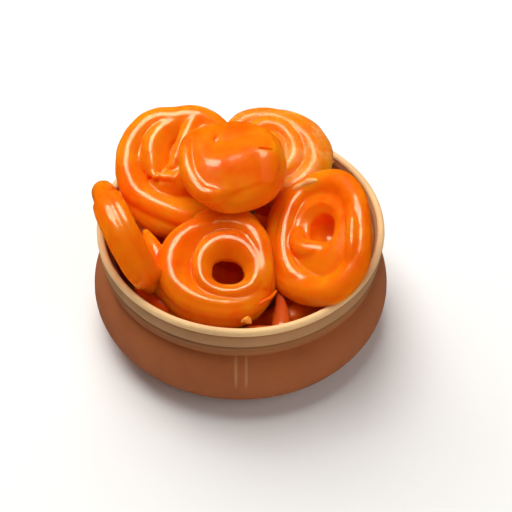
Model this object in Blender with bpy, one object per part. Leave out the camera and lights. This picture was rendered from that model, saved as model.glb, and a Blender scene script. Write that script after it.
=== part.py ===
"""A round clay bowl heaped with jalebis: coils of piped batter, fried and soaked in syrup.

Run with: blender --background --python part.py
Sizes below are in millimetres; the model is built in metres, +Z up, and the
origin is the middle of the bowl's flat foot. Every jalebi is one solid, because
the turns of a piped coil fuse where they touch. The turns stay visible as
ridges, with a groove in between, on both faces.
"""

from math import cos, pi, radians, sin

import bmesh
import bpy
from mathutils import Matrix, Vector

MM = 0.001

# Bowl
RIM_TOP = 60.0          # height of the bowl
LIP_R = 67.0            # middle of the rolled lip
LIP_TUBE = 2.3          # radius of the roll
BELLY_R = 72.5          # widest, low on the belly
BELLY_Z = 19.0
FOOT_R = 44.0           # flat spot that the bowl stands on
NECK_R = 66.0           # groove between the belly and the collar
NECK_Z = 44.5
COLLAR_R = 68.2         # swell of the collar above the groove
WALL = 5.2
FLOOR_Z = 4.5           # top of the bowl's floor
BOWL_SEGMENTS = 44

# Jalebis
RIDGE = 5.2             # crest above the middle plane of a strand
KEEL = 4.7              # underside below the middle plane
VALLEY = 2.0            # edge of the hole and deepest groove on top, above the middle plane
GROOVE_SLOPE = 0.42     # depth of a groove for each mm between its two crests
VALLEY_LOW = 2.9        # groove underneath, below the middle plane
HOLE_LIP = 0.78         # upper edge of the hole, as a share of crest to the hole's narrowest
STRAND_END = 3.0        # how far a rounded strand end stands out
SHOWN_STATIONS = 16     # cross-sections in one turn of a jalebi in the heap's top
LOWER_STATIONS = 10     # the same, of one below

# Each shown coil: where its middle is, how far it leans and which way its face
# looks (0 = +X, 90 = +Y), where the strand starts, which way it winds (1 =
# anticlockwise from above), and four values a turn for the crest's radius and the
# height of the strand, for crest to hole over the first turn and for crest to outer
# edge over the last. A groove lies at a share of the way from crest to crest.
SHOWN = {
    "jalebi_front": dict(
        middle=(-6.8, -34.6, 64.2), lean=21, facing=-88, start=-1, wind=-1, turns=2.08, groove=0.42,
        crest=(12.5, 13.0, 12.5, 14.5, 15.0, 16.8, 23.5, 25.0, 20.0, 22.5),
        height=(-1.5, 0, 0, 0, 0, 0, 0, 0, -0.5, -2),
        hole=(2.0, 4.5, 6.5, 8.0, 6.0), skirt=(9.0, 11.0, 8.0, 4.0, 3.5)),
    "jalebi_right": dict(
        middle=(35.3, -23.7, 71.7), lean=46, facing=207, start=-88, wind=1, turns=2.6, groove=0.75,
        crest=(5.0, 6.0, 8.0, 13.5, 15.5, 15.5, 16.0, 25.0, 25.5, 25.0, 24.5, 25.0),
        height=(-8, -8, -7, -5, -4, -4, -3, 0, 0, 0, 0, 0),
        hole=(3.5, 4.5, 6.5, 11.0, 12.0), skirt=(6.5, 3.5, 3.5, 9.5, 6.5)),
    "jalebi_back_left": dict(
        middle=(-35.0, 23.7, 79.0), lean=45, facing=-92, start=270, wind=1, turns=2.25, groove=0.5,
        crest=(7.5, 9.5, 19.0, 9.5, 15.0, 22.0, 23.0, 19.0, 25.5, 28.0),
        height=(-1.5, 1.5, 1.5, 1.5, 1, 0, -1.5, -1.5, -2.5, -3),
        hole=(4.5, 7.0, 12.0, 6.5, 5.5), skirt=(7.0, 3.5, 3.5, 9.5, 4.0)),
    "jalebi_top": dict(
        middle=(0.3, 15.3, 94.1), lean=15, facing=-87, start=0, wind=-1, turns=2.0, groove=0.5,
        crest=(14.0, 9.0, 17.5, 7.5, 19.0, 27.0, 24.5, 10.5, 22.0),
        height=(-1.5, -1, 0, 0, 0, 0, 0, 0, -1),
        hole=(10.0, 6.5, 15.0, 5.5, 13.0), skirt=(6.0, 8.0, 4.0, 3.0, 4.0)),
    "jalebi_back_right": dict(
        middle=(18.8, 33.9, 69.4), lean=14, facing=-109, start=-90, wind=1, turns=2.75, groove=0.5,
        crest=(10.0, 12.0, 15.5, 15.0, 15.0, 19.0, 21.0, 20.0, 19.5, 25.0, 25.5, 23.5),
        height=(0,) * 12,
        hole=(7.0, 9.0, 12.0, 11.5, 11.0), skirt=(6.0, 5.5, 5.0, 5.0, 4.5)),
    "jalebi_left": dict(
        middle=(-52.0, -17.9, 64.1), lean=71, facing=19, start=200, wind=1, turns=2.2, groove=0.5,
        crest=(7.0, 9.0, 12.0, 15.0, 18.0, 21.0, 23.5, 25.5, 27.0, 27.0),
        height=(0,) * 10,
        hole=(4.0, 5.4, 5.4, 5.4, 5.4), skirt=(4.8,) * 5),
}

# Each coil lower in the bowl is an even one: middle, lean, facing, start, size.
LOWER = {
    "lower_front_right": ((22.8, -35.4, 32.7), 51, 124, 34, 1.0),
    "lower_right": ((40.5, 11.0, 28.0), 50, 195, 111, 1.0),
    "lower_back": ((3.0, 42.5, 28.0), 49, -95, 200, 1.0),
    "lower_left": ((-38.5, 14.0, 27.4), 53, -21, 75, 1.0),
    "lower_front_left": ((-24.7, -34.5, 29.4), 54, 61, 314, 1.0),
    "middle_floor": ((0.0, 0.0, 11.4), 5, 198, 45, 0.72),
    "middle_second": ((0.0, 1.0, 24.5), 6, -86, 100, 0.85),
    "middle_third": ((-1.0, -7.5, 39.8), 8, 74, 161, 1.0),
    "under_back_left": ((-32.0, 33.0, 55.1), 38, -46, 20, 1.0),
    "under_back_right": ((18.0, 31.7, 57.0), 14, -109, 91, 1.0),
}
EVEN_START = 7.0        # crest radius where an even coil starts
EVEN_GROWTH = 1.8       # and how much it grows in a quarter turn
EVEN_TURNS = 2.2
EVEN_HOLE = 5.4
EVEN_SKIRT = 4.4


def arc(middle, radii, first, last, steps):
    """Points of an elliptic arc in the profile plane, from one angle in degrees to another."""
    for step in range(steps + 1):
        angle = radians(first + (last - first) * step / steps)
        yield middle[0] + radii[0] * cos(angle), middle[1] + radii[1] * sin(angle)


def bowl_profile():
    """The bowl's cross-section as (radius, height): outside from the foot up, then down inside."""
    swell = BELLY_R - FOOT_R
    outside = [
        *arc((FOOT_R, BELLY_Z), (swell, BELLY_Z), -90, 0, 6),
        *arc((FOOT_R, BELLY_Z), (swell, 28.0), 14, 42, 2),
        (NECK_R + 1.3, NECK_Z - 3.6),
        (NECK_R, NECK_Z),
        (COLLAR_R, NECK_Z + 5.5),
        (LIP_R + 0.4, RIM_TOP - 4.8),
    ]
    lip = [*arc((LIP_R, RIM_TOP - LIP_TUBE), (LIP_TUBE, LIP_TUBE), -30, 210, 6)]
    inside = [
        (NECK_R - WALL, NECK_Z + 1.0),
        *arc((FOOT_R - 4.0, BELLY_Z + 1.0), (swell - 1.0, BELLY_Z + 1.0 - FLOOR_Z), 25, -90, 5),
    ]
    return outside + lip + inside


def material(name, colour, roughness, coat=0.0):
    made = bpy.data.materials.new(name)
    made.use_nodes = True
    shader = made.node_tree.nodes["Principled BSDF"]
    shader.inputs["Base Color"].default_value = (*colour, 1.0)
    shader.inputs["Roughness"].default_value = roughness
    shader.inputs["Metallic"].default_value = 0.0
    shader.inputs["Coat Weight"].default_value = coat
    made.diffuse_color = (*colour, 1.0)
    return made


def add_object(name, mesh_data, look):
    mesh = bpy.data.meshes.new(name)
    bmesh.ops.recalc_face_normals(mesh_data, faces=mesh_data.faces)
    mesh_data.to_mesh(mesh)
    mesh_data.free()
    mesh.shade_smooth()
    mesh.materials.append(look)
    made = bpy.data.objects.new(name, mesh)
    bpy.context.scene.collection.objects.link(made)
    return made


def make_bowl():
    """The cross-section spun once round the axis; its two ends close on the axis."""
    mesh_data = bmesh.new()
    points = [(0.0, 0.0), *bowl_profile(), (0.0, FLOOR_Z)]
    line = [mesh_data.verts.new((r * MM, 0.0, z * MM)) for r, z in points]
    edges = [mesh_data.edges.new(pair) for pair in zip(line, line[1:])]
    bmesh.ops.spin(
        mesh_data, geom=line + edges, cent=(0, 0, 0), axis=(0, 0, 1),
        angle=2 * pi, steps=BOWL_SEGMENTS, use_merge=True)
    bmesh.ops.remove_doubles(mesh_data, verts=mesh_data.verts, dist=0.01 * MM)
    return add_object("bowl", mesh_data, material("terracotta", (0.36, 0.17, 0.08), 0.62))


def along(values, quarter):
    """A smooth value between those named at each quarter turn (Catmull-Rom)."""
    last = len(values) - 1
    quarter = min(max(quarter, 0.0), float(last))
    k = min(int(quarter), last - 1)
    t = quarter - k
    a, b, c, d = (values[min(max(k + step, 0), last)] for step in (-1, 0, 1, 2))
    return 0.5 * (2 * b + (c - a) * t + (2 * a - 5 * b + 4 * c - d) * t**2
                  + (3 * b - a - 3 * c + d) * t**3)


def even_coil(middle, lean, facing, start, size):
    quarters = int(4 * EVEN_TURNS) + 2
    return dict(
        middle=middle, lean=lean, facing=facing, start=start, wind=1 if start % 2 else -1,
        turns=EVEN_TURNS, height=(0,) * quarters, groove=0.5,
        hole=(EVEN_HOLE * size,) * 5, skirt=(EVEN_SKIRT,) * 5,
        crest=tuple(size * (EVEN_START + EVEN_GROWTH * k) for k in range(quarters)))


def coil_sections(coil, stations):
    """The named points of each cross-section, as (radius, height), by station number.

    A station is one step along the strand, and one turn is `stations` of them. The
    groove outside station i is the groove inside station i + stations, so
    neighbouring turns share its points. The first turn borders the hole and the
    last turn the outer edge.
    """
    last = round(coil["turns"] * stations)
    crest = [along(coil["crest"], 4 * i / stations) for i in range(last + 1)]
    height = [along(coil["height"], 4 * i / stations) for i in range(last + 1)]
    hole = [along(coil["hole"], 4 * k / stations) for k in range(stations + 1)]
    skirt = [along(coil["skirt"], 4 * k / stations) for k in range(stations + 1)]
    points = {}
    for j in range(last + stations + 1):
        if j < stations:
            points["top", j] = crest[j] - HOLE_LIP * hole[j], height[j] + VALLEY
            points["low", j] = crest[j] - HOLE_LIP * hole[j], height[j] - VALLEY_LOW
            points["side", j] = crest[j] - hole[j], height[j] - 0.4
        elif j > last:
            i, edge = j - stations, skirt[j - last]
            points["top", j] = crest[i] + 0.82 * edge, height[i] + 0.9
            points["low", j] = crest[i] + 0.80 * edge, height[i] - VALLEY_LOW
            points["side", j] = crest[i] + edge, height[i] - 1.0
        else:
            i = j - stations
            radius = crest[i] + coil["groove"] * (crest[j] - crest[i])
            level = (height[i] + height[j]) / 2
            depth = min(RIDGE - VALLEY, GROOVE_SLOPE * (crest[j] - crest[i]))
            points["top", j] = radius, level + RIDGE - depth
            points["low", j] = radius, level - VALLEY_LOW
            points["side", j] = radius, level - 0.4
    for i in range(last + 1):
        peak = height[i] + RIDGE
        points["crest", i] = crest[i], peak
        points["keel", i] = crest[i], height[i] - KEEL
        for name, beside in (("inner", i), ("outer", i + stations)):
            radius, level = points["top", beside]
            points[name, i] = (crest[i] + radius) / 2, peak - 0.30 * (peak - level)
    return points, last


def make_jalebi(name, coil, stations, look):
    points, last = coil_sections(coil, stations)
    turn = coil["wind"] * 2 * pi / stations
    mesh_data = bmesh.new()

    def place(radius, height, angle):
        return Vector((radius * cos(angle), radius * sin(angle), height)) * MM

    at = {}
    for (kind, j), (radius, height) in points.items():
        if kind == "side" and stations < j < last:
            continue
        at[kind, j] = mesh_data.verts.new(place(radius, height, radians(coil["start"]) + j * turn))

    for i in range(last):
        across = [("top", i), ("inner", i), ("crest", i), ("outer", i), ("top", i + stations)]
        under = [("low", i + stations), ("keel", i), ("low", i)]
        for row in (across, under):
            for one, two in zip(row, row[1:]):
                mesh_data.faces.new((
                    at[one], at[two], at[two[0], two[1] + 1], at[one[0], one[1] + 1]))
    for j in [*range(stations), *range(last, last + stations)]:
        for upper, lower in (("top", "side"), ("side", "low")):
            mesh_data.faces.new((at[upper, j], at[upper, j + 1], at[lower, j + 1], at[lower, j]))

    for i, outward in ((0, -1), (last, 1)):
        loop = [at[key] for key in (
            ("top", i), ("inner", i), ("crest", i), ("outer", i), ("top", i + stations),
            ("side", i + stations), ("low", i + stations), ("keel", i), ("low", i), ("side", i))]
        middle = sum((vert.co for vert in loop), Vector()) / len(loop)
        angle = radians(coil["start"]) + i * turn
        ahead = Vector((-sin(angle), cos(angle), 0.0)) * coil["wind"] * outward
        tip = mesh_data.verts.new(middle + ahead * STRAND_END * MM)
        for one, two in zip(loop, loop[1:] + loop[:1]):
            mesh_data.faces.new((one, two, tip))

    made = add_object(name, mesh_data, look)
    facing = radians(coil["facing"])
    hinge = Vector((-sin(facing), cos(facing), 0.0))
    made.matrix_world = (
        Matrix.Translation(Vector(coil["middle"]) * MM)
        @ Matrix.Rotation(radians(coil["lean"]), 4, hinge))
    return made


def main():
    for old in list(bpy.data.objects):
        bpy.data.objects.remove(old)
    make_bowl()
    for name, coil in SHOWN.items():
        look = material(f"syrup_{name}", (0.83, 0.17, 0.012), 0.25, 0.4)
        make_jalebi(name, coil, SHOWN_STATIONS, look)
    for name, values in LOWER.items():
        look = material(f"syrup_{name}", (0.72, 0.11, 0.01), 0.25, 0.4)
        make_jalebi(name, even_coil(*values), LOWER_STATIONS, look)


main()
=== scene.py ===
# %% [markdown]
# # A clay bowl heaped with jalebi
#
# Jalebi is batter piped into hot oil in a tight spiral, fried until it holds, and soaked in warm
# sugar syrup. The syrup makes it glossy and lets light through. Here sixteen of them lie in a small
# unglazed bowl, and the six on top are the ones that a visitor sees.
#
# The frame already holds every coil at its true place and size, as a coarse cage of flat faces. This
# notebook gives each piece its finished surface: the bowl is thrown anew from a disc of clay, and
# the coils deep in the bowl are rounded from their cages, the six on top are piped anew with every
# fold that shows, and all are dipped in syrup.

# %% Load the frame
from math import cos, pi, radians, sin

import bpy
from mathutils import Matrix, Vector


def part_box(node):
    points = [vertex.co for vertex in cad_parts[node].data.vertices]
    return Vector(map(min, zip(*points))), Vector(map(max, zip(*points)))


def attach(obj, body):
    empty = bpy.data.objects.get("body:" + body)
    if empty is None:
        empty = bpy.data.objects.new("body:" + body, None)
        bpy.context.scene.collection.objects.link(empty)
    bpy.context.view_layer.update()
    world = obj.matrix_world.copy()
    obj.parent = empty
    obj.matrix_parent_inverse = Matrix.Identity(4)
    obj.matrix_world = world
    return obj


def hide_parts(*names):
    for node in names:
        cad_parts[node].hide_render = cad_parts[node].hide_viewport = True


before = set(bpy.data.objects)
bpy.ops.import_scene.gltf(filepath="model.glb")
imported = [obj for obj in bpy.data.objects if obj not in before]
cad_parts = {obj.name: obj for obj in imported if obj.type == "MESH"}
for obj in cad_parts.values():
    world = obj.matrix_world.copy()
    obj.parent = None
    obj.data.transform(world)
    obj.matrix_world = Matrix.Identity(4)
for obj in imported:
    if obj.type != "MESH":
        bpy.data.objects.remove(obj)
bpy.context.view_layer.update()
MM = 0.001
print("nodes:", ", ".join(sorted(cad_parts)))

# %% [markdown]
# ## Small helpers
#
# Blender's operators act on whatever is selected, and the frame arrives selected. So each step
# first drops the selection and then picks the one object that it is about.

# %% Helpers for picking and finishing
def pick(piece):
    """Selects one object alone and makes it the active one."""
    for other in bpy.context.selected_objects:
        other.select_set(False)
    piece.select_set(True)
    bpy.context.view_layer.objects.active = piece
    return piece


def edit(piece):
    """Opens one object in edit mode with nothing selected in it."""
    pick(piece)
    bpy.ops.object.mode_set(mode="EDIT")
    bpy.ops.mesh.select_mode(type="VERT")
    bpy.ops.mesh.select_all(action="DESELECT")


def leave_edit():
    bpy.ops.object.mode_set(mode="OBJECT")


def apply(piece, kind, **settings):
    """Adds a modifier with its settings and applies it, as one would with a click on Apply."""
    pick(piece)
    modifier = piece.modifiers.new(kind.lower(), kind)
    for name, value in settings.items():
        setattr(modifier, name, value)
    bpy.ops.object.modifier_apply(modifier=modifier.name)


def hand_in(piece, node):
    """A finished piece keeps its place in its mesh, rides on the one body and stands for its node."""
    pick(piece)
    bpy.ops.object.transform_apply(location=True, rotation=True, scale=True)
    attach(piece, "root")
    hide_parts(node)


# %% [markdown]
# ## Materials
#
# A material is a tree of shader nodes. The helpers here add one node each and return its output, so
# that a material reads as a few lines of what feeds what. Both materials read Object coordinates:
# they stay with the piece however it is moved.

# %% Node helpers
def new_material(name):
    """A new material, its node tree and the inputs of its shader."""
    material = bpy.data.materials.new(name)
    material.use_nodes = True
    return material, material.node_tree, material.node_tree.nodes["Principled BSDF"].inputs


def feed(tree, socket, value):
    """Sets a socket, or links it when the value is the output of another node."""
    if isinstance(value, bpy.types.NodeSocket):
        tree.links.new(value, socket)
    else:
        socket.default_value = value


def add(tree, kind, inputs, **settings):
    """Adds a shader node, feeds its inputs and returns its first output."""
    node = tree.nodes.new(kind)
    for name, value in settings.items():
        setattr(node, name, value)
    for name, value in inputs.items():
        feed(tree, node.inputs[name], value)
    return node.outputs[0]


def maths(tree, operation, *values):
    """One sum on values, each a number or the output of another node."""
    return add(tree, "ShaderNodeMath", dict(enumerate(values)), operation=operation)


def noise(tree, place, scale, detail, roughness):
    """Fractal noise between 0 and 1; a larger scale gives smaller lumps."""
    return add(tree, "ShaderNodeTexNoise",
               {"Vector": place, "Scale": scale, "Detail": detail, "Roughness": roughness})


def tint(tree, value, stops):
    """Turns a value into a colour along the given (position, colour) stops."""
    node = tree.nodes.new("ShaderNodeValToRGB")
    feed(tree, node.inputs[0], value)
    elements = node.color_ramp.elements
    for place, colour in stops[1:-1]:
        elements.new(place)
    for element, (place, colour) in zip(elements, stops):
        element.position = place
        element.color = (*colour, 1.0)
    return node.outputs[0]


def mixed(tree, share, under, over, blend_type="MIX"):
    """Lays the colour over on the colour under, by a share between 0 and 1."""
    return add(tree, "ShaderNodeMixRGB", {0: share, 1: under, 2: over}, blend_type=blend_type)


def rescale(tree, value, low, high):
    """Maps low to 0 and high to 1, and holds the value at those ends."""
    return add(tree, "ShaderNodeMapRange", {"Value": value, "From Min": low, "From Max": high})


def bumped(tree, height, strength, distance):
    """A fine relief that only turns the light, and leaves the shape as it is."""
    return add(tree, "ShaderNodeBump", {"Height": height, "Strength": strength, "Distance": distance})


# %% [markdown]
# ### Clay
#
# The lip was wiped and fired pale, the collar under it is a greyish tan, a brown bead follows with
# painted shade in the grooves on either side of it, and the belly is red clay. A little noise on the
# height keeps the edges of the bands from looking printed. Two short pale strokes on the front of the
# belly are a painted highlight, standing for a small raised mark that is not modelled.

# %% The clay
LIP_PALE = (0.92, 0.60, 0.29)
COLLAR_TAN = (0.52, 0.265, 0.115)
BEAD_BROWN = (0.42, 0.16, 0.055)
BELLY_CLAY = (0.44, 0.125, 0.036)
# Painted shade for the grooves round the bead
GROOVE_PAINTED_SHADE = (0.16, 0.07, 0.03)
# Painted highlight: two pale strokes on the front of the belly, for a small raised mark that is not
# modelled
STROKE_PAINTED_HIGHLIGHT = (0.62, 0.30, 0.15)
# Heights in millimetres and the colour there; the grooves round the bead get painted shade
CLAY_BANDS = [
    (0, BELLY_CLAY), (41.5, BELLY_CLAY), (43.6, BEAD_BROWN), (44.6, GROOVE_PAINTED_SHADE), (45.4, BEAD_BROWN),
    (47.2, BEAD_BROWN), (48.0, GROOVE_PAINTED_SHADE), (49.0, COLLAR_TAN), (54.2, COLLAR_TAN),
    (55.6, BEAD_BROWN), (56.6, LIP_PALE), (62, LIP_PALE)]
BANDS_TOP = 62
CLAY_CLOUDS = [(0.3, (0.72, 0.66, 0.62)), (0.55, (1.0, 1.0, 1.0)), (0.75, (1.12, 1.1, 1.05))]
CLOUD_SHARE = 0.7
STROKE_HIGHLIGHT_SHARE = 0.5
STROKES_X = (-2.2 * MM, 2.6 * MM)
STROKE_HALF = 0.3 * MM
STROKE_SOFT = 0.7 * MM


def near(tree, value, centre, half, soft):
    """A mask: 1 within half of the centre, falling to 0 over soft."""
    apart = maths(tree, "ABSOLUTE", maths(tree, "SUBTRACT", value, centre))
    return rescale(tree, apart, half + soft, half)


def strokes(tree, x, y, z):
    """A mask of the two strokes on the front of the belly, where a highlight is painted."""
    left, right = (near(tree, x, across, STROKE_HALF, STROKE_SOFT) for across in STROKES_X)
    upright = near(tree, z, 32 * MM, 4 * MM, 5 * MM)
    front = near(tree, y, -65 * MM, 20 * MM, 1 * MM)
    here = maths(tree, "MULTIPLY", upright, front)
    return maths(tree, "MULTIPLY", maths(tree, "MAXIMUM", left, right), here)


def clay():
    """Fired clay: bands by height, painted shade in the grooves, cloudy, two painted highlight strokes and
    fine grain.
    """
    material, tree, shader = new_material("clay")
    shader["Roughness"].default_value = 0.6
    shader["Specular IOR Level"].default_value = 0.2
    place = tree.nodes.new("ShaderNodeTexCoord").outputs["Object"]
    split = tree.nodes.new("ShaderNodeSeparateXYZ")
    feed(tree, split.inputs[0], place)
    x, y, z = split.outputs
    wavy = maths(tree, "MULTIPLY_ADD", noise(tree, place, 45.0, 4.0, 0.6), 1.2 * MM, z)
    height = rescale(tree, wavy, 0.0, BANDS_TOP * MM)
    bands = tint(tree, height, [(level / BANDS_TOP, colour) for level, colour in CLAY_BANDS])
    clouds = tint(tree, noise(tree, place, 18.0, 5.0, 0.65), CLAY_CLOUDS)
    blotchy = mixed(tree, CLOUD_SHARE, bands, clouds, "MULTIPLY")
    # The two strokes are a painted highlight
    painted_highlight = maths(tree, "MULTIPLY", strokes(tree, x, y, z), STROKE_HIGHLIGHT_SHARE)
    feed(tree, shader["Base Color"], mixed(tree, painted_highlight, blotchy, (*STROKE_PAINTED_HIGHLIGHT, 1.0)))
    grain = noise(tree, place, 700.0, 3.0, 0.7)
    feed(tree, shader["Normal"], bumped(tree, grain, 0.25, 0.3 * MM))
    return material


# %% [markdown]
# ### Syrup-soaked batter
#
# Light enters the batter, scatters and comes out warmer, so the material leans on subsurface
# scattering over an orange base. Red light travels furthest in it, then green, and blue hardly at
# all. Thin crests look yellower and deep grooves redder. The syrup is a thin smooth coat on top. A
# scrap is smaller than the distance that suits a coil and would turn greenish grey, so it gets a
# shorter one. Dried sugar is a pale fleck pattern over the colour.

# %% The batter
RED = (0.85, 0.070, 0.001)
DEEP = (0.97, 0.135, 0.001)
BODY = (1.0, 0.190, 0.002)
BRIGHT = (1.0, 0.260, 0.004)
PALE = (1.0, 0.33, 0.008)
CRUMB = (1.0, 0.36, 0.055)
DULL = (0.58, 0.085, 0.012)
SUGAR_PALE_AND_HIGHLIGHT = (1.0, 0.46, 0.17)
SYRUP = {
    "Roughness": 0.30, "IOR": 1.45, "Specular IOR Level": 0.12, "Subsurface Weight": 0.9,
    "Subsurface Radius": (1.0, 0.22, 0.02), "Coat Roughness": 0.11, "Coat IOR": 1.45}
FULL_COAT = 0.45
DRY_COAT = 0.1
COIL_DEPTH = 12 * MM
SCRAP_DEPTH = 2 * MM


def sugared(tree, place, syrup, strength):
    """Pale flecks of dried sugar, in loose patches over the colour of the syrup."""
    specks = noise(tree, place, 480.0, 4.0, 0.7)
    patches = noise(tree, place, 70.0, 2.0, 0.5)
    both = maths(tree, "MULTIPLY", specks, patches)
    crust = tint(tree, both, [(0.23, (0, 0, 0)), (0.38, (strength, strength, strength))])
    return mixed(tree, crust, syrup, (*SUGAR_PALE_AND_HIGHLIGHT, 1.0))


def batter(name, tones, shift=0.0, sugar=0.0, coat=FULL_COAT, depth=COIL_DEPTH):
    """One dip of syrup. The tones are three colours, from deep to light, laid in soft random patches."""
    material, tree, shader = new_material(name)
    for socket, value in {**SYRUP, "Coat Weight": coat, "Subsurface Scale": depth}.items():
        shader[socket].default_value = value
    untouched = tree.nodes.new("ShaderNodeTexCoord").outputs["Object"]
    place = add(tree, "ShaderNodeMapping", {"Vector": untouched, "Location": (shift, shift, 0.0)})
    colour = tint(tree, noise(tree, place, 55.0, 3.0, 0.55), list(zip((0.32, 0.5, 0.72), tones)))
    if sugar:
        colour = sugared(tree, place, colour, sugar)
    feed(tree, shader["Base Color"], colour)
    fine = noise(tree, place, 420.0, 3.0, 0.6)
    feed(tree, shader["Normal"], bumped(tree, fine, 0.12 + sugar, 0.4 * MM))
    return material


# %% [markdown]
# ## The bowl, thrown from a disc
#
# A potter pulls the wall up from a disc of clay. The same way works here: a disc is extruded ring by
# ring and each ring is scaled to its radius, up the outside, over the lip and down the inside.

# %% The profile of the bowl
bowl_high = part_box("bowl")[1]
BELLY_R = bowl_high.x
RIM_TOP = bowl_high.z
BOWL_SIDES = 160


def arc(middle, radii, first, last, steps):
    """(radius, height) points of an elliptic arc, from one angle in degrees to another."""
    for step in range(steps + 1):
        angle = radians(first + (last - first) * step / steps)
        yield middle[0] + radii[0] * cos(angle), middle[1] + radii[1] * sin(angle)


LIP_R = BELLY_R - 5.5 * MM
LIP_TUBE = 1.8 * MM
FOOT_R = 40 * MM
BELLY_Z = 20.5 * MM
NECK_R = 66 * MM
NECK_Z = 44.5 * MM
FLOOR_Z = 4.5 * MM
SWELL = BELLY_R - FOOT_R
profile = [
    # The foot and the belly
    *arc((FOOT_R, BELLY_Z), (SWELL, BELLY_Z), -90, 0, 16),
    *arc((FOOT_R, BELLY_Z), (SWELL, 28.0 * MM), 5, 50, 9),
    # The neck and the bead above it
    (NECK_R + 0.9 * MM, NECK_Z - 3.2 * MM), (NECK_R + 0.1 * MM, NECK_Z - 1.6 * MM),
    (NECK_R, NECK_Z - 0.5 * MM),
    *arc((NECK_R + 0.6 * MM, NECK_Z + 1.3 * MM), (0.9 * MM, 1.1 * MM), -90, 60, 5),
    # The collar
    (NECK_R + 0.9 * MM, NECK_Z + 2.7 * MM), (NECK_R + 1.9 * MM, NECK_Z + 4.6 * MM),
    (NECK_R + 2.2 * MM, NECK_Z + 6.6 * MM), (NECK_R + 1.9 * MM, NECK_Z + 8.6 * MM),
    # The lip
    (LIP_R - 0.1 * MM, RIM_TOP - 5.0 * MM), (LIP_R + 0.6 * MM, RIM_TOP - 4.3 * MM),
    *arc((LIP_R, RIM_TOP - LIP_TUBE), (LIP_TUBE, LIP_TUBE), -40, 205, 14),
    # Down the inside to the floor
    (LIP_R - 4.2 * MM, NECK_Z + 7.0 * MM), (NECK_R - 5.2 * MM, NECK_Z + 1.0 * MM),
    *arc((FOOT_R - 4.0 * MM, BELLY_Z + 1.0 * MM), (SWELL - 1.0 * MM, BELLY_Z + 1.0 * MM - FLOOR_Z),
         25, -90, 12),
]
print("profile:", len(profile), "rings")


# %% Throw the bowl
def throw_bowl():
    """Extrudes a disc ring by ring along the profile and closes the floor with a point."""
    bpy.ops.mesh.primitive_circle_add(vertices=BOWL_SIDES, radius=profile[0][0], fill_type="NGON")
    bowl = bpy.context.object
    bowl.name = "clay_bowl"
    bpy.ops.object.mode_set(mode="EDIT")
    bpy.ops.mesh.select_mode(type="FACE")
    bpy.ops.mesh.select_all(action="SELECT")
    radius, height = profile[0]
    for next_radius, next_height in profile[1:]:
        bpy.ops.mesh.extrude_region_move(
            TRANSFORM_OT_translate={"value": (0, 0, next_height - height)})
        share = next_radius / radius
        bpy.ops.transform.resize(value=(share, share, 1), center_override=(0, 0, next_height))
        radius, height = next_radius, next_height
    bpy.ops.mesh.poke()
    bpy.ops.mesh.select_all(action="SELECT")
    bpy.ops.mesh.normals_make_consistent(inside=False)
    leave_edit()
    return bowl


bowl = throw_bowl()
bowl.data.materials.clear()
bowl.data.materials.append(clay())
pick(bowl)
bpy.ops.object.shade_smooth()
hand_in(bowl, "bowl")
print("bowl:", len(bowl.data.polygons), "faces")

# %% [markdown]
# ## The ten coils underneath
#
# Each coil's cage in the frame is loose triangles. A copy is welded, its triangles are paired into
# quads, and Subdivision Surface rounds it. A voxel remesh then makes an even skin, and a few passes
# of smoothing leave the soft ridges of piped batter. That is enough for the coils that only show
# between the others. Their syrup gets darker, redder tones than on the coils on top: painted shade,
# for where they lie deep in the bowl.

# %% Copy a cage
def copy_cage(node):
    """A welded copy of a node's cage, in quads, with the frame's own marks removed."""
    pick(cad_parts[node])
    bpy.ops.object.duplicate()
    piece = bpy.context.object
    for mark in list(piece.keys()):
        del piece[mark]
    piece.name = node + "_batter"
    piece.parent = None
    edit(piece)
    bpy.ops.mesh.select_all(action="SELECT")
    bpy.ops.mesh.customdata_custom_splitnormals_clear()
    bpy.ops.mesh.remove_doubles(threshold=0.01 * MM)
    bpy.ops.mesh.mark_sharp(clear=True)
    bpy.ops.mesh.tris_convert_to_quads(face_threshold=radians(50), shape_threshold=radians(50))
    leave_edit()
    return piece


# %% Grow a skin
def swelling(name, size):
    """Soft lumps of the given size, to push a surface out and in."""
    texture = bpy.data.textures.new(name, "CLOUDS")
    texture.noise_scale = size
    texture.noise_depth = 1
    return texture


UNEVEN = swelling("uneven", 9 * MM)


def skin(piece, voxel, passes, plump, wobble):
    """One even, slightly uneven skin over everything that is in the piece."""
    apply(piece, "REMESH", mode="VOXEL", voxel_size=voxel, use_smooth_shade=True)
    apply(piece, "SMOOTH", factor=0.5, iterations=passes)
    apply(piece, "DISPLACE", strength=plump, mid_level=0.0)
    apply(piece, "DISPLACE", texture=UNEVEN, texture_coords="LOCAL", strength=wobble, mid_level=0.5)
    pick(piece)
    bpy.ops.object.shade_smooth()


# %% Round the coils underneath
HIDDEN_SKIN = dict(voxel=0.9 * MM, passes=4, plump=0.8 * MM, wobble=0.5 * MM)
HIDDEN = [name for name in sorted(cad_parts) if name.startswith(("lower", "middle", "under"))]
for place, node in enumerate(HIDDEN):
    coil = copy_cage(node)
    apply(coil, "SUBSURF", levels=2, render_levels=2)
    skin(coil, **HIDDEN_SKIN)
    coil.data.materials.clear()
    # Darker, redder tones than on top: painted shade for a coil deep in the bowl
    syrup = batter("syrup_" + node, (RED, DEEP, DEEP), shift=0.1 * place, coat=DRY_COAT)
    coil.data.materials.append(syrup)
    hand_in(coil, node)
    print(node, len(coil.data.polygons), "faces")

# %% [markdown]
# ## The six coils on top
#
# These are piped afresh, strand by strand, the way a cook does it. Seen in section a strand that
# has sunk against its neighbour is no round cord: it has a narrow crest, a short steep side and a
# long gentle side that runs in under the next turn. So a strand is a smooth curve along its crest,
# and its bevel is that section. With the steep side towards the rim of the coil it is called a petal
# here, with the steep side towards the middle a shell. A terrace is level on its inside and slopes on
# its outside, like a step. Strands that fill, and small ridges, are round.

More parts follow.
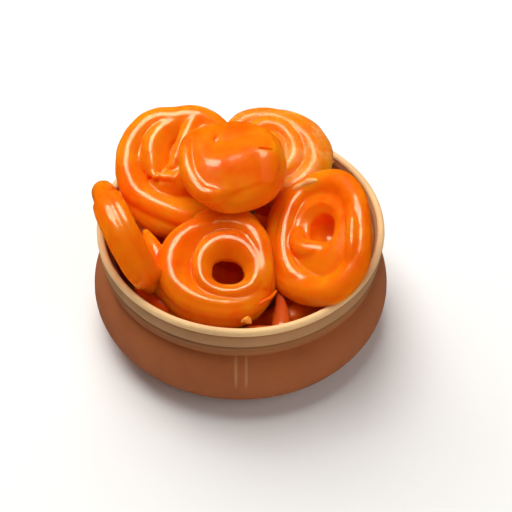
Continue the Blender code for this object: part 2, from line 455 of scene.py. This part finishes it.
# %% The section of a strand
STEEP_SIDE = [(-0.42, 0.06), (-0.08, 0.02), (0.23, -0.11), (0.50, -0.32), (0.68, -0.59), (0.78, -0.9),
              (0.7, -1.5), (0.2, -2.1), (-0.8, -2.3)]
GENTLE_SIDE = [(-1.9, -2.0), (-2.3, -1.5), (-2.15, -1.05), (-1.6, -0.62), (-1.1, -0.26), (-0.75, -0.04)]
TERRACE = [(-0.42, 0.05), (-0.1, 0.02), (0.14, -0.04), (0.38, -0.155), (0.72, -0.345), (1.08, -0.6),
           (2.0, -1.32), (2.6, -1.75), (2.6, -2.4), (-2.5, -2.4), (-2.6, -0.3), (-1.8, -0.02), (-1.0, 0.05)]


def draw_section(name, outline, side):
    """A closed flat curve along the outline. Side is 1, or -1 for its mirror image."""
    bpy.ops.curve.primitive_bezier_curve_add(radius=MM)
    section = bpy.context.object
    section.name = name
    section.location = (0, 0, 0)
    section.data.dimensions = "2D"
    section.data.splines.clear()
    spline = section.data.splines.new("POLY")
    spline.points.add(len(outline) - 1)
    for point, (across, up) in zip(spline.points, outline):
        point.co = (side * across * MM, up * MM, 0, 1)
    spline.use_cyclic_u = True
    return section


SECTIONS = {
    "petal": draw_section("petal_section", STEEP_SIDE + GENTLE_SIDE, 1),
    "shell": draw_section("shell_section", STEEP_SIDE + GENTLE_SIDE, -1),
    "terrace": draw_section("terrace_section", TERRACE, 1),
}


# %% Pipe a strand
def coil_frame(middle, lean, facing):
    """The coil's own frame: its plane leans towards facing, and its x stays roughly to the right."""
    hinge = Vector((-sin(radians(facing)), cos(radians(facing)), 0))
    return Matrix.Translation(Vector(middle) * MM) @ Matrix.Rotation(radians(lean), 4, hinge)


def pipe(place, kind, strand):
    """One strand along (across, up, height, size) points, which run anticlockwise round the coil.

    A petal is steep towards the rim of the coil and a shell is steep towards its middle. A terrace
    is level inside and slopes outside. The rest is round, and a ring closes on itself.
    """
    bpy.ops.curve.primitive_bezier_curve_add(radius=MM)
    curve = bpy.context.object
    path = curve.data
    path.splines.clear()
    spline = path.splines.new("BEZIER")
    spline.bezier_points.add(len(strand) - 1)
    for point, (across, up, height, size) in zip(spline.bezier_points, strand):
        point.co = Vector((across, up, height)) * MM
        point.handle_left_type = point.handle_right_type = "AUTO"
        point.radius = size
    spline.use_cyclic_u = "ring" in kind
    path.dimensions = "3D"
    path.twist_mode = "Z_UP"
    path.resolution_u = 8
    path.use_fill_caps = True
    section = SECTIONS.get(kind.split()[0])
    if section:
        path.bevel_mode = "OBJECT"
        path.bevel_object = section
    else:
        path.bevel_depth = MM
        path.bevel_resolution = 5
    curve.matrix_world = place
    pick(curve)
    bpy.ops.object.convert(target="MESH")
    bpy.ops.object.transform_apply(location=True, rotation=True, scale=True)
    edit(curve)
    bpy.ops.mesh.select_all(action="SELECT")
    bpy.ops.mesh.normals_make_consistent(inside=False)
    leave_edit()
    return curve


# %% Fill, cut and fuse
def dome(place, middle, size):
    """A flattened ball of batter, for the mass in which the strands of a coil run together."""
    bpy.ops.mesh.primitive_uv_sphere_add(segments=48, ring_count=24, radius=MM)
    ball = bpy.context.object
    ball.matrix_world = place @ Matrix.Translation(Vector(middle) * MM) @ Matrix.Diagonal((*size, 1))
    pick(ball)
    bpy.ops.object.transform_apply(location=True, rotation=True, scale=True)
    return ball


def cut(piece, cutter):
    """Takes the cutter out of the piece, for a hollow or for a slit between two strands."""
    apply(piece, "BOOLEAN", operation="DIFFERENCE", solver="EXACT", object=cutter)
    pick(cutter)
    bpy.ops.object.delete()


def fuse(name, pieces):
    """Joins strands and domes into one object."""
    pick(pieces[0])
    for other in pieces[1:]:
        other.select_set(True)
    bpy.ops.object.join()
    joined = bpy.context.object
    joined.name = name
    return joined


# %% [markdown]
# ## What each coil is made of
#
# Points are given in the coil's own frame, in millimetres: across, up the slope, height above the
# middle plane, and size. The coil's plane leans by so many degrees towards where it faces. All
# strands and domes of a coil are joined and one skin is grown over them, so they fuse like batter in
# hot oil.

# %% A place for the coils
COILS = {}


def describe(node):
    """Prints how many strands and filling domes a coil has."""
    shape = COILS[node]
    strands = len(shape["strands"]) + len(shape.get("late", []))
    print(node, "has", strands, "strands and", len(shape["domes"]), "domes")


# %% [markdown]
# ### The back left coil
#
# The turns of this coil have parted and left a long narrow hollow. Two crests run down to its lower
# end, where the batter has puckered into small curls. The hollow is not cut: it is the space that the
# crests leave above the body, so its walls have the same soft slopes as every other groove.

# %% The back left coil
COILS["jalebi_back_left"] = dict(
    middle=(-35.0, 23.7, 79.0), lean=26, facing=-92, tones=(BODY, BRIGHT, PALE),
    domes=[((3, -3, -7), (21, 25, 7))],
    strands=[
        # The outer crest, from the back right round the left to the front
        ("petal", [
            (28, 14.2, 2, 5), (20.5, 20.4, 4, 5), (12.5, 23, 5, 5), (3.5, 22.2, 5, 5), (-7, 21.3, 5, 5),
            (-14.5, 15.7, 5, 5), (-19.3, 7.8, 5, 5), (-20.9, -1.5, 5, 5), (-20.2, -9.9, 5, 5),
            (-16.3, -17.9, 5, 5), (-10.6, -22.3, 5, 5), (-3.5, -26.2, 5, 5), (3.6, -29, 4.5, 5),
            (11, -30.4, 4, 5), (20, -29, 2, 5), (28, -22, 0, 5)
        ]),
        # The body under the outer crest
        ("round", [
            (27, 9, -4, 6), (19, 17, -3, 6), (9, 19.5, -3, 6), (-3, 19, -3, 6), (-13, 13.5, -3, 6),
            (-17.5, 3, -3, 6), (-17.5, -8, -4.5, 6.3), (-14.5, -18, -6, 7), (-8, -25.5, -7, 7.5),
            (1, -30, -7.5, 7.6), (12, -31, -8.5, 7.4), (22, -26, -9, 7), (28, -15, -8, 6),
            (29, -2, -6, 6)
        ]),
        # The second crest, left of the hollow
        ("petal", [
            (11, 20.2, 4, 4), (0, 18.2, 5, 4.2), (-6.9, 11.6, 5.8, 4.2), (-9, 5, 6, 4.2),
            (-8.6, -2.5, 5.8, 4), (-7.2, -9.2, 5, 3)
        ]),
        # The straight crest that closes the hollow on the right
        ("petal", [
            (12.5, 21.8, 4.8, 3), (9.4, 14.8, 5.8, 3), (6.5, 7.3, 6, 2.8), (3.6, -0.1, 5.6, 2.6),
            (1.6, -6.2, 5, 2.2)
        ]),
        # The mass right of the hollow and below it
        ("round", [
            (17, 16, -3, 7), (15, 6, -4, 8.5), (10, -5, -5, 9.8), (3, -11.5, -5.4, 10.4),
            (-4, -12.2, -5.2, 9.6), (-8.5, -10, -4, 6)
        ]),
        # Small curls at the lower end of the hollow
        ("round", [
            (-7.5, -8, 4.2, 1.1), (-5.2, -11, 5, 1.2), (-3.2, -9.8, 5.2, 1), (-1.2, -11.6, 5.4, 1.2),
            (0.8, -10.5, 5.5, 1), (2.6, -12.3, 5.2, 1.1), (5.6, -8.6, 4.6, 1)
        ]),
        # A short ridge in the groove between the two crests at the left
        ("round", [(-14, 3.7, 1.5, 1.5), (-12.6, -1, 1.5, 2), (-10, -5.8, 1.5, 1.6)]),
    ],
)
describe("jalebi_back_left")

# %% [markdown]
# ### The top coil
#
# This coil has swollen until its turns ran together. Two domes give that swollen mass, and a step
# runs over it where the last turn ends. At the right the step has torn into a thin slit, which is cut
# after the skin has grown, because smoothing would close it. The coil lies nearly level.

# %% The top coil
COILS["jalebi_top"] = dict(
    middle=(0.3, 15.3, 94.1), lean=-3, facing=-87,
    domes=[((-2, 4.5, -3.4), (19, 15, 9)), ((0, -8, -9), (20, 14, 8))],
    nicks=[((11.2, -7.2, 4.6), (3.6, 0.8, 3.0))],
    strands=[
        # The step that runs over the face
        ("terrace", [
            (-6, 14, 2.5, 2.4), (-13, 10.5, 4.8, 2.6), (-18, 5.4, 6.3, 2.7), (-20.4, -0.6, 6.8, 2.8),
            (-20, -6, 6.3, 3), (-18.2, -10.8, 5.9, 3.7), (-15.2, -14.4, 5.7, 4.5),
            (-11.4, -15.2, 5.6, 5), (-6.5, -13.7, 5.5, 5), (-1, -11.4, 5.6, 5), (7.4, -7.8, 5.6, 5),
            (13, -8.2, 4.8, 5), (16.5, -7.5, 3.6, 4.5)
        ]),
        # The outer crest at the left and the front
        ("petal", [
            (-16, 11, 3, 2.6), (-22.6, 5, 5.6, 2.8), (-26.2, -3, 6.2, 3), (-26, -12.6, 4.4, 3.2),
            (-24.6, -18.4, 2.4, 3.5), (-22.4, -22.4, 0.8, 3.7), (-19.9, -25.6, -0.4, 3.8),
            (-17.4, -27.4, -1.3, 3.8), (-13.4, -28, -1.8, 3.8), (-8, -25.2, -2.2, 3.4),
            (-2.4, -19.8, -2.9, 2.8), (4, -16.6, -4.6, 2.2)
        ]),
        # The body under the rim
        ("round ring", [
            (-18, 7, -4.6, 5.6), (-19.4, -4, -5, 5.6), (-18.6, -13, -6.5, 6), (-14, -19.4, -9.5, 6.8),
            (-7, -22, -11.3, 7.5), (2, -20.6, -11, 7.6), (10, -16, -10, 7.6), (14, -9, -8.5, 6.4),
            (14.4, 0, -6.5, 6), (11.5, 8, -5, 6), (0, 11, -4.5, 6), (-11, 10.5, -4.5, 6)
        ]),
        # The crest at the right
        ("petal", [
            (13.8, -16, -2, 2), (15.8, -11, 1.8, 2.6), (15.6, -5, 3.6, 3), (13.8, 1, 4.6, 3.2),
            (10.8, 8, 4.6, 3.2), (4, 12.5, 3.8, 3)
        ]),
    ],
)
describe("jalebi_top")

# %% [markdown]
# ### The back right coil
#
# The one coil that shows an ordinary spiral: two closed turns and an inner end. Its syrup has dried
# to a thin sugary crust, so it gets less coat and pale flecks.

# %% The back right coil
COILS["jalebi_back_right"] = dict(
    middle=(18.0, 34.2, 71.6), lean=14, facing=-109, tones=(BODY, BRIGHT, PALE), sugar=0.6, coat=0.3,
    domes=[((-2, -2, -6), (19, 19, 7))],
    strands=[
        # The outer turn
        ("petal ring", [
            (19.6, -5, 4.5, 5), (19, 2.0, 5, 5), (16.2, 8.6, 5, 5), (9.1, 16.6, 5, 5),
            (-1.2, 22.5, 5, 5), (-11, 24, 4, 5), (-19.5, 21, 3, 5), (-24, 11, 2, 5), (-22.5, -2, 2, 5),
            (-15, -14, 2, 5), (-3, -20, 2, 5), (9, -18.5, 3, 5), (16, -13, 4, 5)
        ]),
        # The body under it
        ("round ring", [
            (20.5, -3, -3.5, 6), (19, 8, -3.5, 6), (11.5, 17.5, -3.5, 6), (1, 22, -3.5, 6),
            (-11, 22, -4, 6), (-20, 14, -5, 6), (-20.5, -1, -5, 6), (-13, -13.5, -6, 6),
            (-1, -19, -6, 6), (12, -15.5, -5, 6)
        ]),
        # The second turn
        ("petal ring", [
            (9.8, 1.9, 6, 4.4), (6.9, 10, 6, 4.4), (0.8, 16.4, 6, 4.4), (-8, 17.5, 5, 4.2),
            (-14.5, 10.5, 4, 4.2), (-15, 0, 4, 4.2), (-9.5, -9.5, 4, 4.2), (0, -12, 4, 4.2),
            (8, -6.5, 5.4, 4.4)
        ]),
        # The inner end of the strand
        ("petal", [
            (1.5, -2, 6.2, 3), (1, 5, 6.6, 3.2), (-4.5, 8.5, 6, 3.2), (-9.5, 5.5, 5, 3),
            (-9, -1.5, 5, 3)
        ]),
    ],
)
describe("jalebi_back_right")

# %% [markdown]
# ### The right coil
#
# A deep cup that leans on the wall. Strands alone would leave holes between them, so the body is
# filled first and the cup is cut out of it with two balls, a wide one and a small deep one. The ledge
# and the ridges inside the cup come after the cut, and the skin then softens every edge.

# %% The right coil
COILS["jalebi_right"] = dict(
    middle=(35.3, -23.7, 71.7), lean=36, facing=207,
    domes=[((1, 3, -4.4), (22, 25, 6.6)), ((2, 4, -11), (17, 19, 6))],
    hollows=[((1.5, 7, 9.6), (15, 17, 13)), ((2.4, 5.6, -4.6), (7.6, 9, 9.6))],
    strands=[
        # The crest at the left
        ("shell", [
            (-1, 28, 1.4, 2.4), (-5.6, 25.6, 3, 2.8), (-9, 22.2, 4, 3), (-12.6, 15.4, 4.6, 3.1),
            (-15.2, 6.3, 5, 3.3), (-15.8, -1.1, 5.3, 3.6), (-15.2, -7.1, 5.3, 4),
            (-13.3, -11.6, 4.7, 4.3), (-10.4, -14.6, 3.5, 4.4), (-7, -17, 2.2, 4.3),
            (-2.6, -19.4, 0.6, 3.8), (3.4, -21.6, -1.4, 2.8)
        ]),
        # The outer turn, from the front round the right to the back
        ("petal", [
            (-4, -27.4, -2, 3.4), (5, -27.4, 0, 4), (13, -23.6, 1.2, 4.2), (18.4, -16.8, 2, 4.2),
            (21.6, -8.8, 2.4, 4.2), (22.9, 0.6, 2.6, 4.2), (23, 10, 2.6, 4.4), (21, 19, 2.4, 4.8),
            (15, 27, 2, 5), (5, 31, 1.6, 5), (-4, 30, 1, 4)
        ]),
        # The body under both
        ("round ring", [
            (-21.5, 2, -2, 6), (-21, -8, -2.5, 6.2), (-15, -17.5, -2.5, 6.3), (-5, -23.5, -3, 6.5),
            (4, -25, -3, 6.3), (13.4, -19.4, -3.4, 6), (18.8, -9, -3.4, 5.6), (20.4, 4, -3.2, 5.5),
            (19.6, 16, -3.2, 5.6), (14.6, 26.4, -3.2, 6), (4, 30.4, -3.2, 6), (-8, 28, -3, 6),
            (-17, 21.6, -2.4, 6.3), (-20, 13, -2, 6)
        ]),
    ],
    late=[
        # The ledge left of the deep part and in front of it
        ("round", [
            (-10.2, 10, -1.2, 2.4), (-10.4, 5.6, 0, 3.2), (-9.6, 1.4, 0.8, 4), (-7.4, -1.8, 0.8, 4.4),
            (-3.4, -3.6, -0.2, 4.2), (1.6, -4.6, -2, 3.6), (7, -5, -4, 2.8)
        ]),
        # A soft tongue right of the deep part
        ("round", [
            (12.4, 20, -4, 4), (13.6, 12, -3.8, 4.4), (13, 4, -3.6, 4.6), (10, -2.4, -3.8, 4.2),
            (4, -6, -4.4, 3.6)
        ]),
        # A thin ridge inside the right wall
        ("round", [
            (19.6, 10, 0.6, 2.2), (19.9, 5, 2.2, 2.4), (19.4, -2.8, 2.8, 2.6), (18, -10, 2.6, 2.5),
            (15.6, -15.4, 1, 2.3)
        ]),
    ],
)
describe("jalebi_right")

# %% [markdown]
# ### The front coil
#
# The hole goes right through this coil. Its wall is two rings, one above the other, and the crest
# round it gets broader towards the back. The outer crest is two strands that pass each other at the
# right, where one end slips under the other.

# %% The front coil
COILS["jalebi_front"] = dict(
    middle=(-7.2, -34.6, 64.2), lean=21, facing=-88,
    domes=[],
    strands=[
        # The crest round the hole
        ("petal ring", [
            (-12.4, 3.4, 5.4, 3.2), (-12.2, -2.2, 5.4, 2.8), (-10.2, -7.4, 5.4, 2.3),
            (-5.6, -11.2, 5.4, 1.9), (1.6, -12.8, 5.4, 1.8), (9, -11.4, 5.2, 2.1), (14, -7.4, 5, 2.7),
            (15.9, -0.4, 5, 3.3), (14, 7, 5.2, 3.9), (8.5, 13, 5.4, 4.5), (1.6, 15.2, 5.4, 4.7),
            (-5, 13.8, 5.4, 4.5), (-10.2, 9, 5.4, 3.9)
        ]),
        # The wall of the hole
        ("round ring", [
            (-11.6, 0, -2.5, 4.3), (-8, 10, -2.5, 4.6), (1.5, 14, -2.5, 4.8), (11.5, 10, -2.5, 4.8),
            (14.8, -1, -2.5, 4.8), (11, -11.5, -1.5, 4.3), (1.5, -15.6, -1.2, 4.4),
            (-8, -11.8, -1.5, 4.2)
        ]),
        # The lower wall of the hole, a little wider
        ("round ring", [
            (-14, 0, -9, 5), (-10, 11, -9, 5), (1.5, 16.5, -9, 5), (13, 11.5, -9, 5), (17, -1, -9, 5),
            (12, -12, -9, 5), (1.5, -15.5, -9, 5), (-9, -12, -9, 5)
        ]),
        # The outer crest at the left and the front
        ("petal", [
            (-3, 24, 1, 5), (-12, 22.5, 3, 5), (-19.6, 18, 4, 5), (-24.4, 12, 4.6, 5),
            (-26.4, 4.6, 5, 5), (-26, -2.8, 5, 4.8), (-22.4, -9.4, 5, 4.4), (-16.5, -14, 5, 3.8),
            (-9, -17, 4.8, 3.2), (-0.2, -18.5, 4.2, 3), (8.5, -17.4, 3.2, 3), (15.5, -12.5, 2, 3.2),
            (19.5, -4, 0, 3.4)
        ]),
        # The outer crest at the right and the back
        ("petal", [
            (18.6, -10, 2.6, 2.6), (19.2, -2, 5, 3.4), (18.6, 5.6, 5.4, 4), (16.6, 14, 5.9, 4.6),
            (12.6, 20.2, 5.4, 5), (7, 23.8, 4, 5), (-1, 25.4, 2.4, 5), (-9, 25, 1, 5)
        ]),
        # The body under the outer crest
        ("round", [
            (-2, 21, -5, 6), (-13, 19.5, -5, 6), (-21.2, 14.5, -5.5, 6), (-25, 7, -5.2, 6.2),
            (-24.8, -2, -5.2, 7), (-20.2, -11, -5.6, 7.8), (-11.5, -16.8, -6, 8.2), (0, -18.6, -6, 8.2),
            (9, -15.6, -5.8, 7.6), (15.4, -9, -5.5, 6.8), (17, 1, -5, 6), (15, 12, -5, 6),
            (8, 19.5, -5, 6), (-2, 21, -5, 6)
        ]),
        # The flank outside the outer crest
        ("round", [
            (-27, 4, 0.4, 3.6), (-26.4, -4, 0.4, 3.8), (-22.5, -11.5, 0, 4), (-15, -17, -0.5, 4.2),
            (-5, -20, -0.8, 4.2), (5, -20, -1.2, 4.2), (13, -16, -2, 4.2), (18, -8, -2.5, 4)
        ]),
        # A layer that shows past the left side
        ("round", [
            (-37.6, 21.5, -6.4, 1.4), (-34.6, 14.8, -3.8, 3), (-31.6, 8, -3, 4), (-31.4, 0, -4.4, 4.2),
            (-28.6, -7, -6.4, 4), (-22, -14, -9, 2.4)
        ]),
        # The back, under the coil behind
        ("round", [
            (-14, 17, -9, 4), (-10, 25, -6.5, 6), (0, 28, -7, 6.5), (10, 25, -8, 6), (15, 16, -10, 4)
        ]),
    ],
)
describe("jalebi_front")

# %% [markdown]
# ### The left coil
#
# This coil stands on its edge against the wall, so mostly its rim shows. The body is one closed
# turn. Thinner strands along both edges make the rim fall away in steps instead of in one curve.

# %% The left coil
COILS["jalebi_left"] = dict(
    middle=(-52.0, -17.9, 64.1), lean=71, facing=19,
    domes=[((-2, 0, 0.5), (20, 21, 4.6))],
    strands=[
        # The body, a closed turn
        ("round ring", [
            (-27, 0, 0, 4.6), (-24.4, -11, 0, 5), (-15, -20.6, 0, 5.2), (-2, -24.6, 0.4, 5),
            (10, -21, 1, 4.6), (17.6, -12.6, 1, 4.4), (20, 0, 0.5, 4.4), (15.5, 13, 0, 4.6),
            (4, 22, 0, 5), (-9, 23.5, 0, 5), (-21.5, 16, 0, 5)
        ]),
        # A thin ridge along the edge of the outer face
        ("round", [
            (-27.6, -5, -3.6, 2), (-24.6, -13.6, -4.2, 2), (-14.6, -23.4, -4.2, 1.9),
            (-1.6, -27.4, -4, 1.8), (10, -23.6, -2.8, 1.6)
        ]),
        # The fold along the edge of the inner face
        ("round", [
            (-27.4, -3, 4, 4), (-23, -14, 5, 3.8), (-13.5, -22, 5.4, 3.6), (-1, -24.5, 5.6, 3.4),
            (9.6, -21, 5.4, 3), (16, -13, 4, 2.8)
        ]),
        # The inner turn, on the inner face
        ("petal ring", [
            (-17, -1, 5.6, 3.6), (-12, -11, 5.6, 3.6), (-1, -15, 5.6, 3.4), (8.6, -11, 5.4, 3.2),
            (12, 0, 5, 3.2), (8, 10, 5, 3.4), (-2, 14.4, 5, 3.6), (-13, 10, 5, 3.6)
        ]),
    ],
)
describe("jalebi_left")

# %% [markdown]
# ## Pipe, fuse and soak
#
# Strands and domes become one object, a voxel remesh grows one even skin over them, and smoothing
# softens it. Where a coil has hollows, they are cut from a rough skin of the body before the late
# strands join it. Slits come last.

# %% Pipe, fuse and soak the top coils
TOP_SKIN = dict(voxel=0.6 * MM, passes=16, plump=0.4 * MM, wobble=0.4 * MM)
ROUGH_VOXEL = 0.7 * MM
for place, (node, shape) in enumerate(COILS.items()):
    where = coil_frame(shape["middle"], shape["lean"], shape["facing"])
    parts = [pipe(where, kind, strand) for kind, strand in shape["strands"]]
    parts += [dome(where, middle, size) for middle, size in shape["domes"]]
    coil = fuse(node + "_batter", parts)
    if "hollows" in shape:
        apply(coil, "REMESH", mode="VOXEL", voxel_size=ROUGH_VOXEL)
        for middle, size in shape["hollows"]:
            cut(coil, dome(where, middle, size))
        late = [pipe(where, kind, strand) for kind, strand in shape["late"]]
        coil = fuse(node + "_batter", [coil] + late)
    skin(coil, **TOP_SKIN)
    for middle, size in shape.get("nicks", []):
        cut(coil, dome(where, middle, size))
    coil.data.materials.clear()
    tones = shape.get("tones", (DEEP, BODY, BRIGHT))
    dip = dict(sugar=shape.get("sugar", 0.0), coat=shape.get("coat", FULL_COAT))
    coil.data.materials.append(batter("syrup_" + node, tones, shift=1.0 + 0.1 * place, **dip))
    hand_in(coil, node)
    print(node, len(coil.data.polygons), "faces")

# %% [markdown]
# ## Broken ends and crumbs
#
# Fried batter snaps, syrup pulls threads and sugar dries in patches. The pale patch on the right coil
# is partly dried sugar and partly a painted highlight. The scraps are loose, so each is a small piece
# of its own, piped like a coil from one strand or two, and stands for no node.

# %% Broken ends and crumbs
HERE = Matrix.Identity(4)
RIGHT_COIL = coil_frame(*(COILS["jalebi_right"][key] for key in ("middle", "lean", "facing")))
SCRAPS = [
    # A broken end in the gap between the front and right coils, by the lip
    ("broken_end", HERE, (DULL, DULL, DULL), [
        ("round", [
            (17.8, -37.6, 51.4, 0.9), (18.4, -44, 52, 2.2), (18.8, -51, 51.6, 3.7),
            (18.6, -58, 50.6, 4.6), (18.2, -61.6, 49.6, 4.0)
        ]),
        ("round", [
            (18.6, -42, 48.6, 1.4), (19.2, -50, 48, 3.2), (18.2, -58, 47.4, 4.4), (17.6, -61, 47, 3.6)
        ]),
    ]),
    # A thin strip along the lip, beside it
    ("broken_petal", HERE, (DULL, DULL, DULL), [
        ("round", [
            (2.6, -56.6, 47.8, 1.4), (8, -58, 49.4, 1.8), (14, -58.8, 49.6, 2.0), (20, -58.4, 48.4, 1.6)
        ]),
    ]),
    # A piece in the gap at the lower left; its darker, redder tones are painted shade for the gap
    ("broken_left", HERE, (RED, RED, DEEP), [
        ("round", [
            (-47.6, -26.4, 45.5, 3.4), (-45, -30.8, 46.5, 5.2), (-41, -35.8, 46.9, 6.0),
            (-36, -40.6, 46.5, 6.0), (-30.8, -44.8, 45.5, 4.4)
        ]),
    ]),
    # A thread of syrup at the right edge of the front coil
    ("syrup_thread", HERE, (RED, DEEP, BODY), [
        ("round", [
            (8.4, -52.4, 60.2, 0.8), (10.6, -51, 61.0, 0.9), (13.8, -48.4, 60.8, 0.8),
            (16.4, -44, 60.4, 0.5)
        ]),
    ]),
    # A crumb on the front coil, near the lip
    ("crumb", HERE, (PALE, CRUMB, CRUMB), [
        ("round", [
            (0.2, -58.2, 54.6, 0.5), (1.8, -57.4, 55.4, 1.1), (3.6, -57.0, 55.8, 0.9),
            (4.8, -58.8, 54.2, 0.4)
        ]),
        ("round", [(3.2, -56.4, 57.0, 0.4), (3.4, -57.8, 55.0, 1.2), (2.6, -58.8, 54.2, 0.5)]),
    ]),
    # A small dark fleck at the back right
    ("dark_fleck", HERE, (BEAD_BROWN, BEAD_BROWN, RED), [
        ("round", [(45.4, 44.2, 56.0, 0.9), (46.8, 45.0, 56.4, 1.1), (48.2, 45.2, 55.6, 0.7)]),
    ]),
    # Dried sugar on the upper edge of the right coil, pale partly as sugar and partly as a painted
    # highlight
    ("sugar_and_painted_highlight", RIGHT_COIL, (CRUMB, SUGAR_PALE_AND_HIGHLIGHT, SUGAR_PALE_AND_HIGHLIGHT), [
        ("round", [
            (-9, 28, 1.8, 0.7), (-6.5, 29.5, 2.4, 1.5), (-3, 30, 2.4, 1.2), (0, 30.5, 2.4, 1.7),
            (3, 30, 2.2, 1.3), (6, 29, 2.0, 0.7)
        ]),
    ]),
]
SCRAP_SKIN = dict(voxel=0.35 * MM, passes=6, plump=0.15 * MM, wobble=0.5 * MM)
SCRAP_COAT = 0.4
for name, where, tones, strands in SCRAPS:
    scrap = fuse(name, [pipe(where, kind, strand) for kind, strand in strands])
    skin(scrap, **SCRAP_SKIN)
    scrap.data.materials.clear()
    syrup = batter("syrup_" + name, tones, shift=2.0, coat=SCRAP_COAT, depth=SCRAP_DEPTH)
    scrap.data.materials.append(syrup)
    pick(scrap)
    bpy.ops.object.transform_apply(location=True, rotation=True, scale=True)
    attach(scrap, "root")
    print(name, len(scrap.data.polygons), "faces")

# %% Put the bevel sections away
for section in SECTIONS.values():
    pick(section)
    bpy.ops.object.delete()
print("sections removed:", len(SECTIONS))

# %% [markdown]
# ## Floor and light
#
# Food on white. A soft window at the back left and a ceiling lamp light the heap, a weak fill opens
# the front right, and a faint glow comes from all around. What makes syrup look wet is the shape of
# its highlights. So a warm lamp beside the ceiling lamp lights no surface and only shows in
# reflections, and the window, the fill, the floor and the glow are kept out of them. Mirrored at a
# grazing angle, the floor and the glow would give each coil a grey rim.

# %% Floor and lights
bpy.ops.mesh.primitive_plane_add(size=6.0, location=(0, 0, 0))
floor = bpy.context.object
floor.name = "floor"
paper, _, shader = new_material("white_paper")
shader["Base Color"].default_value = (0.93, 0.93, 0.925, 1)
shader["Roughness"].default_value = 0.9
shader["Specular IOR Level"].default_value = 0.0
floor.data.materials.append(paper)
floor.visible_glossy = False
HEAP_MIDDLE = Vector((0, 0, 0.04))
DAYLIGHT = (1.0, 0.98, 0.95)
WARM = (1.0, 0.89, 0.58)


def area_light(name, place, size, power, colour):
    """A round lamp aimed at the middle of the heap."""
    bpy.ops.object.light_add(type="AREA", location=place)
    light = bpy.context.object
    light.name = name
    light.data.shape = "DISK"
    light.data.size = size
    light.data.energy = power
    light.data.color = colour
    light.rotation_euler = (HEAP_MIDDLE - Vector(place)).to_track_quat("-Z", "Y").to_euler()
    return light


window = area_light("window", (-0.40, 0.88, 1.05), size=1.4, power=15, colour=DAYLIGHT)
window.visible_glossy = False
fill = area_light("fill", (0.75, -0.90, 1.05), size=1.2, power=5, colour=DAYLIGHT)
fill.visible_glossy = False
area_light("ceiling", (-0.22, 0.16, 1.55), size=1.0, power=13, colour=DAYLIGHT)
glint = area_light("glint", (-0.20, 0.14, 1.50), size=1.1, power=46, colour=WARM)
glint.visible_diffuse = False
GLOW_STRENGTH = 0.13
world = bpy.data.worlds.new("glow")
bpy.context.scene.world = world
world.use_nodes = True
background = world.node_tree.nodes["Background"].inputs
background["Color"].default_value = (1, 1, 1, 1)
background["Strength"].default_value = GLOW_STRENGTH
world.cycles_visibility.glossy = False

# %% [markdown]
# ## Camera
#
# The camera looks down at 46 degrees, the way one looks at a bowl on a table. A longish lens keeps
# the near coils from looking much larger than the far ones, and a small shift sets where the bowl
# sits in the frame.

# %% The camera
ELEVATION = radians(46)
DISTANCE = 0.68
bpy.ops.object.camera_add(rotation=(pi / 2 - ELEVATION, 0, 0))
camera = bpy.context.object
camera.location = Vector((0, 0, RIM_TOP)) + DISTANCE * Vector((0, -cos(ELEVATION), sin(ELEVATION)))
camera.data.lens = 100
camera.data.sensor_width = 36
camera.data.shift_x = 0.030
camera.data.shift_y = -0.067
bpy.context.scene.camera = camera
bpy.context.scene.view_settings.view_transform = "Standard"
